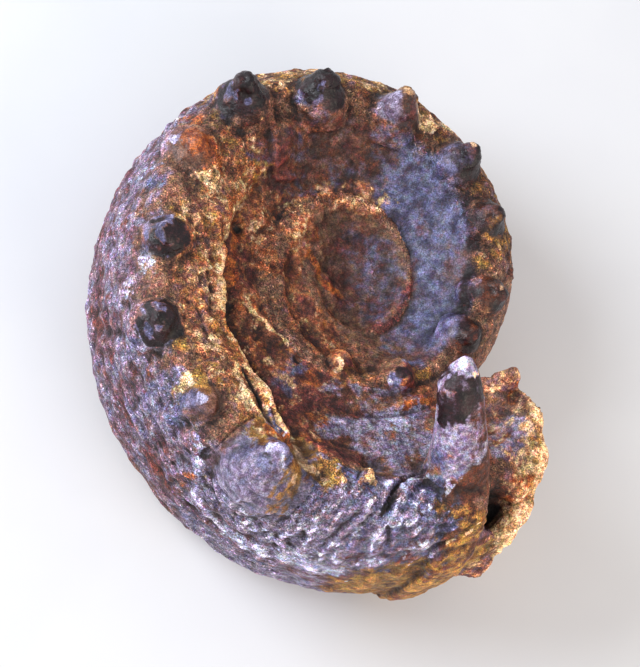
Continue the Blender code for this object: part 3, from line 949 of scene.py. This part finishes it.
def mineral_and_shading_masks(s):
    """Share of each mineral, and gloss, at every vertex, with painted light on sides that face the
    key light and painted shade on sides that turn from it, in seams, pits and cracks; the material
    breaks it up.
    """
    a = s.angle + 9.0 * noise(s.points, 12.0, 409, 3)
    w = s.across
    last = s.last

    def shell(low, high, soft):
        """1 between two angles of the last whorl."""
        return window(a, low, high, soft) * last

    # areas along the shell
    venter = ramp(w, 1.95, 2.35) * last
    edge = np.exp(-(((s.z + 11.0 * window(a, 236.0, 300.0, 25.0)) / 6.0) ** 2)) * (w > 2.0) * last
    edge *= 0.3 + 0.7 * window(a, 150.0, 300.0, 25.0)
    wall = 1.0 - ramp(w, 0.9, 1.3)
    left = shell(138.0, 236.0, 14.0)
    below = shell(240.0, 284.0, 8.0) * window(w, 1.35, 2.5, 0.2)
    fleck = noise(s.points, 5.0, 401, 3)
    golden = shell(270.0, 304.0, 8.0) * ramp(w, 2.2, 2.5)
    golden = np.maximum(golden, 0.8 * shell(278.0, 290.0, 5.0) * ramp(w, 1.5, 1.9))
    east = np.maximum(window(s.turn, 306.0, 361.0, 10.0), window(s.turn, -1.0, 58.0, 14.0))
    soft_east = np.maximum(window(s.turn, 300.0, 361.0, 20.0), window(s.turn, -1.0, 50.0, 34.0))
    north = window(s.turn, 56.0, 134.0, 12.0)
    spread = np.hypot(s.x - 3.5, s.y - 1.5) + 2.0 * noise(s.points, 6.0, 408, 2)
    disc = s.upper * (1.0 - ramp(s.radius, 15.0, 17.5)) * (1.0 - ramp(spread, 9.0, 16.0))
    bowl = ramp(s.radius, 15.5, 18.0) * (1.0 - ramp(w, 1.3, 1.8)) * (a < 150.0)
    top = ramp(s.z + 18.0 * noise(s.points, 16.0, 410, 3), -14.0, 22.0)
    rim = ramp(w, 1.7, 2.1) * np.maximum(window(a, 50.0, 126.0, 26.0), east) * last * top
    floor = window(s.turn, 132.0, 250.0, 14.0) * ramp(s.radius, 7.0, 14.0) * wall * (1.0 - disc)
    foot = shell(238.0, 300.0, 10.0) * window(w, 0.05, 1.2, 0.2)
    end = ramp(s.angle, 300.0, 306.0) * last * ramp(s.radius, 38.0, 44.0)
    flank = left * window(w, 1.0, 1.75, 0.2)
    band = s.upper * window(s.radius, 17.0, 23.0, 1.5) * window(s.turn, 62.0, 150.0, 14.0)
    crystals = 1.5 * slant_streaks(s) * shoulder_crystals(s)
    right = ramp(s.x + 1.5 * noise(s.points, 6.0, 405, 2), 33.0, 39.0)
    drift = noise(s.points, 13.0, 402, 2)
    behind_rib = shell(279.0, 290.0, 4.0) * window(w, 1.5, 2.5, 0.2)

    # tubercles, cone and spine, and their sides: the lit side faces the key light at the upper left
    # and the shaded side turns from it, and colours keyed to them are painted light and shade
    shaded_side = ramp(s.normals[:, 0] - 0.35 * s.normals[:, 1], -0.15, 0.55)
    lit = 1.0 - shaded_side
    high = s.normals[:, 1]
    knob = [on_tubercles(s, [tubercle]) for tubercle in TUBERCLES]
    knobs = np.max(knob, axis=0) + on_tubercles(s, map(lower_twin, TUBERCLES), -1.0)
    bare = 1.0 - knobs
    black = np.max([knob[n] for n in BLACK_KNOBS], axis=0)
    grey = np.max(knob[:7], axis=0)
    streak = noise(s.points * np.array([1.0, 0.5, 1.0]), 2.2, 404, 3)
    # painted highlight: pale streaks on the lit side of the black knobs
    shine = ramp(streak - 0.4 * north, -0.2, 0.2) * (1.0 - ramp(shaded_side, 0.1, 0.6)) * black
    cone = along_horn(s, CONE_RINGS, 14.0, 22.0)[0]
    cone *= 1.0 - s.upper * ramp(s.y, -50.0, -48.4)
    cone += on_tubercles(s, [BIG_TUBERCLE_BELOW], -1.0)
    spine, passed = along_horn(s, SPINE_RINGS, 30.0, 35.0)
    passed = passed + 0.35 * noise(s.points, 4.0, 403, 3)
    # sunny is the spine's side towards the key light: the pale, slate and lilac there are painted
    # light, and the colours on its other side are painted shade
    sunny = 1.0 - ramp(s.normals[:, 0] + 0.3 * s.normals[:, 2], 0.0, 0.4)
    tip = spine * ramp(passed, 4.1, 4.3)
    band_dark = spine * window(passed + 0.3 * (sunny - 0.5), 3.2, 4.1, 0.15)

    # shares keyed to the lit and shaded sides, or to the sunny side of the spine, are painted light
    # and shade, not the stone's own colour
    masks = {
        "mauve": 0.9 * venter + 0.5 * edge + 0.4 * below + 0.6 * bowl * east + 0.25 * drift
        + 0.95 * cone + 0.3 * flank + 0.4 * end * (1.0 - right) - 1.2 * golden
        + 0.25 * bowl * north,
        "tan": 0.72 * floor + 0.45 * foot + 0.45 * band + 0.5 * flank + 0.3 * fleck
        + 0.5 * end + 0.3 * bowl * north + 0.5 * cone * shaded_side,
        "umber": 0.12 + 0.3 * disc + 0.4 * bowl * north + 0.75 * spine * (1.0 - sunny)
        + 0.3 * floor * shaded_side + 0.2 * fleck + 0.45 * foot * window(a, 238.0, 262.0, 8.0)
        + 0.35 * golden + 0.5 * rim + 0.5 * grey * shaded_side + 0.6 * (knob[2] + knob[3] + knob[4])
        + 0.4 * venter * ramp(drift, 0.1, 0.5) + 0.5 * cone * shaded_side + 0.35 * cone
        + 0.6 * behind_rib,
        "wine": 0.38 * bowl * north + 0.62 * disc + (0.5 + 0.9 * drift) * edge + 0.25 * venter
        + 0.3 * black + 0.75 * grey * shaded_side + 0.3 * foot + 0.35 * floor - 0.25 * drift
        + 0.2 * bowl * east + 0.35 * cone * shaded_side
        + 0.5 * below * ramp(fleck - 0.4 * crystals, 0.1, 0.6),
        "slate": (0.72 + 0.5 * drift) * bowl * soft_east + 0.2 * bowl * north
        + 0.15 * venter * left + 0.6 * below - crystals - 0.5 * golden
        + 0.5 * disc * ramp(s.x, -6.0, 8.0)
        + 0.55 * knob[5] * lit + 0.35 * knob[6] * lit + 0.2 * knob[4] * lit
        + 0.9 * shine + 0.3 * cone * lit * ramp(high, -0.4, 0.2)
        + 0.8 * spine * window(passed, 1.2, 2.2, 0.3) * sunny - 0.8 * rim * bare
        + 0.2 * fleck,
        "lilac": 0.55 * venter * window(a, 128.0, 262.0, 10.0) + 0.4 * below + 0.5 * tip * sunny
        + 0.12 * cone * lit * ramp(high, -0.2, 0.3) + 0.4 * knob[6] * lit
        + 0.9 * spine * window(passed, 2.3, 3.1, 0.3) * sunny
        + 0.55 * foot * window(a, 268.0, 292.0, 8.0) + 0.2 * fleck - 0.3 * edge - 0.9 * golden,
        "ochre": 0.3 * flank + 0.45 * rim * bare + 0.75 * golden + 0.5 * end * right
        + 0.12 * floor - 1.2 * knobs - 0.4 * cone * lit + 0.65 * cone * shaded_side - 0.9 * spine
        + 0.2 * fleck,
        "rust": 0.24 * floor + 0.15 * flank + 0.15 * fleck + 0.1 * band + 0.4 * tip * (1.0 - sunny),
        "pale": 0.6 * tip * sunny + 0.62 * crystals + 0.12 * drift - 0.5 * cone - 0.6 * edge
        - 0.5 * golden + 0.55 * shine * ramp(streak, 0.35, 0.6) * last * ramp(-s.x, 40.0, 44.0),
        "cream": 0.3 * band + 0.3 * flank + 0.2 * floor + 0.3 * rim * bare * north
        + 0.3 * end + 0.3 * end * right + 0.6 * tip * (1.0 - sunny) - 0.5 * knobs - 0.3 * cone,
        "dark": 0.85 * black - shine + 0.8 * band_dark
        + (0.25 + 0.7 * shaded_side) * knob[5] + (0.3 + 0.6 * shaded_side) * knob[4]
        + (0.15 + 0.6 * shaded_side) * (knob[3] + knob[2]) + 0.4 * knob[6] * shaded_side
        + 0.3 * seam_shade(s) * window(a, -75.0, 70.0, 10.0),
        "gloss": np.max(knob[2:], axis=0) + 0.65 * cone + 0.2 * east * bowl + 0.6 * band_dark,
    }
    placing = s.warped()
    for name in masks:
        listed = placed(placing, name) * (1.0 - spine)
        masks[name] = np.clip(np.maximum(masks[name], listed), 0.0, 1.0)
    return masks


# painted shade along the seam groove, where the whorls meet
def seam_shade(s):
    return np.exp(-(((s.radius - s.section.seam) / 1.3) ** 2))


def hollowness(mesh, points, normals, passes):
    """How far each vertex lies below a smoothed copy of the surface."""
    edges = np.empty(len(mesh.edges) * 2, dtype=np.int64)
    mesh.edges.foreach_get("vertices", edges)
    first, second = edges.reshape(-1, 2).T
    count = np.bincount(edges, minlength=len(points))[:, None].astype(float)
    smoothed = points.copy()
    for _ in range(passes):
        total = np.zeros_like(smoothed)
        for axis in range(3):
            total[:, axis] = np.bincount(
                first, weights=smoothed[second, axis], minlength=len(points)
            ) + np.bincount(second, weights=smoothed[first, axis], minlength=len(points))
        smoothed = total / np.maximum(count, 1.0)
    return np.einsum("ij,ij->i", smoothed - points, normals)


def store(mesh, name, values):
    layer = mesh.attributes.new(name, "FLOAT", "POINT")
    layer.data.foreach_set("value", np.asarray(values, dtype=np.float32))


# ================================================================ stone material
class Graph:
    """A material, and a short way to write its nodes."""

    def __init__(self, name):
        self.material = bpy.data.materials.new(name)
        self.material.use_nodes = True
        self.tree = self.material.node_tree
        self.tree.nodes.clear()
        place = self.node("TexCoord").outputs["Object"]
        scaled = self.node("VectorMath", {0: place, "Scale": 1.0 / MM}, operation="SCALE")
        self.place = scaled.outputs["Vector"]
        self.shader = self.node("BsdfPrincipled")
        self.node("OutputMaterial", {"Surface": self.shader.outputs["BSDF"]})

    def node(self, kind, values=None, **settings):
        """New node, with links or plain values at its inputs."""
        made = self.tree.nodes.new("ShaderNode" + kind)
        for name, value in settings.items():
            setattr(made, name, value)
        for socket, value in (values or {}).items():
            self.join(value, made.inputs[socket])
        return made

    def join(self, value, socket):
        """Links an output, or sets a plain value."""
        if isinstance(value, bpy.types.NodeSocket):
            self.tree.links.new(value, socket)
        else:
            socket.default_value = value

    def mask(self, name):
        return self.node("Attribute", attribute_name=name).outputs["Fac"]

    def moved(self, step, seed):
        """The place in millimetres, shifted by so many steps."""
        shift = [seed * part for part in step]
        return self.node("VectorMath", {0: self.place, 1: shift}, operation="ADD").outputs["Vector"]

    def noise(self, size, seed, detail=3.0, rough=0.55):
        """Noise from 0 to 1 with lumps of about this many millimetres."""
        place = self.moved((17.3, -9.1, 5.7), seed)
        values = {"Vector": place, "Scale": 1.0 / size, "Detail": detail, "Roughness": rough}
        return self.node("TexNoise", values).outputs["Fac"]

    def tint(self, size, seed):
        """Colour near white that wavers in hue over this many millimetres."""
        place = self.moved((3.1, 8.3, -4.9), seed)
        values = {"Vector": place, "Scale": 1.0 / size, "Detail": 3.0, "Roughness": 0.7}
        colour = self.node("TexNoise", values).outputs["Color"]
        values = {0: colour, 1: (3.2, 2.4, 3.6), 2: (-0.6, -0.2, -0.8)}
        colour = self.node("VectorMath", values, operation="MULTIPLY_ADD").outputs["Vector"]
        values = {0: colour, 1: (0.25, 0.25, 0.25)}
        return self.node("VectorMath", values, operation="MAXIMUM").outputs["Vector"]

    def cells(self, size, seed):
        """Closeness to the borders of cells about this many millimetres wide."""
        values = {"Vector": self.moved((7.9, 3.3, -6.1), seed), "Scale": 1.0 / size}
        return self.node("TexVoronoi", values, feature="DISTANCE_TO_EDGE").outputs["Distance"]

    def math(self, operation, a, b):
        return self.node("Math", {0: a, 1: b}, operation=operation).outputs["Value"]

    def times(self, a, b):
        return self.math("MULTIPLY", a, b)

    def ramp(self, value, low, high, start=0.0, end=1.0):
        """Smooth change from start to end while value goes from low to high."""
        values = {"Value": value, "From Min": low, "From Max": high, "To Min": start, "To Max": end}
        return self.node("MapRange", values, interpolation_type="SMOOTHSTEP").outputs["Result"]

    def mix(self, factor, a, b, blend="MIX"):
        values = {0: factor, 6: a, 7: b}
        return self.node("Mix", values, data_type="RGBA", blend_type=blend).outputs[2]


Mineral = namedtuple("Mineral", "mask light dark patch sign bite soft")
# the layers also serve as painted light on lit sides, and as painted shade on shaded sides and in
# seams, pits and cracks, where their masks say so
MINERALS = [
    Mineral("mauve", (0.310, 0.215, 0.260, 1), (0.120, 0.055, 0.080, 1), 0, 1, 1.1, 0.32),
    Mineral("tan", (0.600, 0.285, 0.140, 1), (0.260, 0.085, 0.034, 1), 1, 1, 1.2, 0.27),
    Mineral("umber", (0.160, 0.060, 0.028, 1), (0.045, 0.014, 0.008, 1), 2, 1, 1.2, 0.26),
    Mineral("wine", (0.230, 0.078, 0.062, 1), (0.080, 0.022, 0.022, 1), 0, -1, 1.3, 0.32),
    Mineral("slate", (0.235, 0.245, 0.370, 1), (0.078, 0.072, 0.135, 1), 1, -1, 1.0, 0.38),
    Mineral("lilac", (0.370, 0.345, 0.440, 1), (0.160, 0.125, 0.190, 1), 2, -1, 1.2, 0.26),
    Mineral("ochre", (0.440, 0.270, 0.085, 1), (0.200, 0.100, 0.028, 1), 3, 1, 1.2, 0.26),
    Mineral("rust", (0.480, 0.190, 0.055, 1), (0.200, 0.055, 0.022, 1), 0, 1, 1.3, 0.18),
    Mineral("pale", (0.620, 0.630, 0.740, 1), (0.330, 0.330, 0.460, 1), 3, -1, 1.2, 0.24),
    Mineral("cream", (0.780, 0.610, 0.400, 1), (0.440, 0.280, 0.150, 1), 1, 1, 1.3, 0.18),
    Mineral("dark", (0.050, 0.018, 0.024, 1), (0.014, 0.005, 0.008, 1), 2, 1, 0.9, 0.26),
]
PATCH_SIZES = (4.8, 3.4, 4.0, 2.5)
MATRIX_DARK = (0.130, 0.062, 0.040, 1)
MATRIX_LIGHT = (0.300, 0.180, 0.120, 1)
FLECK_TINT = (2.4, 2.3, 2.3, 1)
SPECK_COLOUR = (0.20, 0.045, 0.035, 1)
VEIN_TINT = (0.22, 0.13, 0.12, 1)
HOLLOW_SHADE_TINT = (0.16, 0.09, 0.08, 1)
POLISH_TINT = (0.74, 0.72, 0.76, 1)
RIDGE_WEAR_AND_HIGHLIGHT_TINT = (1.9, 1.8, 1.75, 1)
CONTRAST = 1.35
LEVEL = (1.22, 1.20, 1.20, 1)


def mineral_and_shading_colour(g):
    """Brown matrix with the minerals over it, each in its own broken patches; the layers also paint
    the light and shade that their masks hold.
    """
    patches = [
        g.noise(size, 2 + index, detail=6.0, rough=0.64)
        for index, size in enumerate(PATCH_SIZES)
    ]
    shades = [g.noise(3.2, 12, detail=5.0, rough=0.64), g.noise(1.8, 13, detail=4.0, rough=0.62)]
    shades = [g.ramp(shade, 0.36, 0.64) for shade in shades]
    colour = g.mix(g.ramp(patches[3], 0.36, 0.64), MATRIX_DARK, MATRIX_LIGHT)
    for index, mineral in enumerate(MINERALS):
        mask = g.mask(mineral.mask)
        bite = 2.0 * mineral.sign * mineral.bite
        share = g.times(g.math("SUBTRACT", patches[mineral.patch], 0.5), bite)
        factor = g.ramp(g.math("ADD", mask, share), 0.5 - mineral.soft, 0.5 + mineral.soft)
        factor = g.times(factor, g.ramp(mask, 0.02, 0.25))
        colour = g.mix(factor, colour, g.mix(shades[index % 2], mineral.dark, mineral.light))
    return colour


def weathered_and_shaded(g, colour, calm, gloss):
    """The colour with fine grain, flecks and veins, painted shade in hollows, and pale ridges and
    edges that are partly wear and partly painted highlight.
    """
    grain = g.ramp(g.noise(0.36, 34, detail=1.0, rough=0.5), 0.36, 0.64, 0.50, 1.50)
    busy = g.ramp(calm, 0.0, 1.0, 1.0, 0.25)
    colour = g.mix(g.ramp(calm, 0.0, 1.0, 1.0, 0.55), colour, grain, "MULTIPLY")
    flecks = g.times(g.ramp(g.noise(0.8, 37, detail=2.0), 0.62, 0.68), busy)
    colour = g.mix(flecks, colour, FLECK_TINT, "MULTIPLY")
    specks = g.times(g.ramp(g.noise(1.3, 38, detail=3.0), 0.62, 0.67, 0.0, 0.6), busy)
    colour = g.mix(specks, colour, SPECK_COLOUR)
    hue = g.math("SUBTRACT", 0.32, g.times(gloss, 0.25))
    colour = g.mix(hue, colour, g.tint(1.4, 35), "MULTIPLY")
    veins = g.math("SUBTRACT", g.noise(5.0, 36, detail=6.0, rough=0.6), 0.5)
    veins = g.ramp(g.math("ABSOLUTE", veins, 0.0), 0.0, 0.012, 0.45, 0.0)
    colour = g.mix(veins, colour, VEIN_TINT, "MULTIPLY")
    # painted shade: the hollows are darkened, less where the stone is calm
    hollow = g.mask("hollow")
    hollow_shade = g.times(g.ramp(hollow, 0.02, 0.50), g.ramp(calm, 0.0, 1.0, 1.0, 0.55))
    colour = g.mix(hollow_shade, colour, HOLLOW_SHADE_TINT, "MULTIPLY")
    colour = g.mix(g.ramp(gloss, 0.0, 1.0), colour, POLISH_TINT, "MULTIPLY")
    # pale ridges and edges: partly wear, partly painted highlight
    worn = g.ramp(g.times(hollow, -1.0), 0.03, 0.40, 0.0, 0.60)
    colour = g.mix(worn, colour, RIDGE_WEAR_AND_HIGHLIGHT_TINT, "MULTIPLY")
    colour = g.node("Gamma", {"Color": colour, "Gamma": CONTRAST}).outputs["Color"]
    return g.mix(1.0, colour, LEVEL, "MULTIPLY")


def stone_material():
    g = Graph("fossil_stone")
    gloss = g.mask("gloss")
    calm = g.mask("calm")
    g.join(weathered_and_shaded(g, mineral_and_shading_colour(g), calm, gloss), g.shader.inputs["Base Color"])

    rough = g.ramp(g.noise(1.2, 41, detail=4.0), 0.3, 0.7, 0.50, 0.84)
    rough = g.math("SUBTRACT", rough, g.times(gloss, 0.28))
    g.join(rough, g.shader.inputs["Roughness"])
    g.join(0.5, g.shader.inputs["Specular IOR Level"])

    cracks = g.ramp(g.cells(2.4, 44), 0.0, 0.10)
    height = g.math("ADD", g.noise(0.8, 42, detail=3.0, rough=0.6), g.times(cracks, 0.03))
    height = g.times(height, g.ramp(calm, 0.0, 1.0, 1.0, 0.3))
    bump = g.node("Bump", {"Strength": 0.85, "Distance": 0.8 * MM, "Height": height})
    g.join(bump.outputs["Normal"], g.shader.inputs["Normal"])
    return g.material


# ================================================================ making the piece
def placement():
    """Carries the coil's frame, in millimetres, to the frame of the CAD model."""
    turn = math.radians(LEAN_TOWARDS)
    axis = Vector((-math.sin(turn), math.cos(turn), 0.0))
    lean = Matrix.Rotation(math.radians(LEAN), 4, axis)
    lift = Matrix.Translation((COIL_AXIS[0], COIL_AXIS[1], REST_DEPTH))
    return Matrix.Scale(MM, 4) @ lift @ lean


def set_points(mesh, points):
    mesh.vertices.foreach_set("co", points.astype(np.float32).ravel())
    mesh.update()


def make_fossil():
    mesh = fused_mesh("ammonite_stone")
    surface = Surface(mesh)
    surface.push(relief(surface))
    set_points(mesh, surface.points)
    fossil = add_object("ammonite_stone", mesh)
    thin = fossil.modifiers.new("thin", "DECIMATE")
    mesh.calc_loop_triangles()
    thin.ratio = min(1.0, TRIANGLES / len(mesh.loop_triangles))
    mesh = applied(fossil)
    surface = Surface(mesh)
    for name, values in mineral_and_shading_masks(surface).items():
        store(mesh, name, values)
    store(mesh, "calm", calm_places(surface))
    # the hollowness drives the painted shade in hollows and the pale ridges, which are partly wear
    # and partly painted highlight
    near_hollow = hollowness(mesh, surface.points, surface.normals, 6)
    broad_hollow = hollowness(mesh, surface.points, surface.normals, 60)
    store(mesh, "hollow", near_hollow + 0.17 * broad_hollow)
    mesh.transform(placement())
    settled = Surface(mesh).points
    settled[:, 2] = np.maximum(settled[:, 2], 0.0)
    set_points(mesh, settled)
    mesh.shade_smooth()
    mesh.materials.append(stone_material())
    return add_object("ammonite_stone", mesh)


def make_floor():
    bm = bmesh.new()
    bmesh.ops.create_grid(bm, x_segments=8, y_segments=8, size=FLOOR_HALF)
    mesh = finished(bm, "floor")
    g = Graph("floor_paper")
    tone = g.ramp(g.noise(60.0, 3), 0.3, 0.7)
    g.join(g.mix(tone, FLOOR_DARK, FLOOR_LIGHT), g.shader.inputs["Base Color"])
    g.join(0.9, g.shader.inputs["Roughness"])
    mesh.materials.append(g.material)
    return add_object("floor", mesh)


def camera_axes():
    """Right, up and towards the camera in the coil's frame."""
    azimuth = math.radians(CAMERA_AZIMUTH)
    elevation = math.radians(CAMERA_ELEVATION)
    flat = math.cos(elevation)
    back = Vector((flat * math.cos(azimuth), flat * math.sin(azimuth), math.sin(elevation)))
    up_angle = math.radians(CAMERA_UP_ANGLE)
    hint = Vector((math.cos(up_angle), math.sin(up_angle), 0.0))
    up = (hint - back * hint.dot(back)).normalized()
    return up.cross(back), up, back


def looking(origin, target, up):
    """Placement at origin that looks at target with this direction up."""
    back = (origin - target).normalized()
    right = up.cross(back).normalized()
    turned = Matrix((right, back.cross(right), back)).transposed().to_4x4()
    return Matrix.Translation(origin) @ turned


def add_camera():
    right, up, back = camera_axes()
    place = placement()
    turn = place.to_3x3().normalized()
    origin = place @ (CAMERA_DISTANCE * back)
    aim = place @ (CAMERA_AIM[0] * right + CAMERA_AIM[1] * up)
    data = bpy.data.cameras.new("camera")
    data.lens = CAMERA_LENS
    data.sensor_width = 36.0
    data.clip_start = CAMERA_CLIP
    bpy.context.scene.camera = add_object("camera", data, looking(origin, aim, turn @ up))


def add_lights():
    right, up, back = camera_axes()
    turn = placement().to_3x3().normalized()
    target = Vector((0.0, 0.0, 0.02))
    for light in LIGHTS:
        direction = (light.right * right + light.up * up + light.back * back).normalized()
        origin = target + turn @ direction * light.distance
        data = bpy.data.lights.new(light.name, "AREA")
        data.shape = "DISK"
        data.size = light.size
        data.energy = light.power
        data.color = light.colour
        add_object(light.name, data, looking(origin, target, turn @ up))
    world = bpy.data.worlds.new("studio")
    world.use_nodes = True
    background = world.node_tree.nodes["Background"]
    background.inputs["Color"].default_value = SKY_COLOUR
    background.inputs["Strength"].default_value = SKY_STRENGTH
    bpy.context.scene.world = world


bpy.context.scene.view_settings.view_transform = "Standard"

stone = make_fossil()
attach(stone, "root")
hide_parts("ammonite")
make_floor()
add_lights()
add_camera()
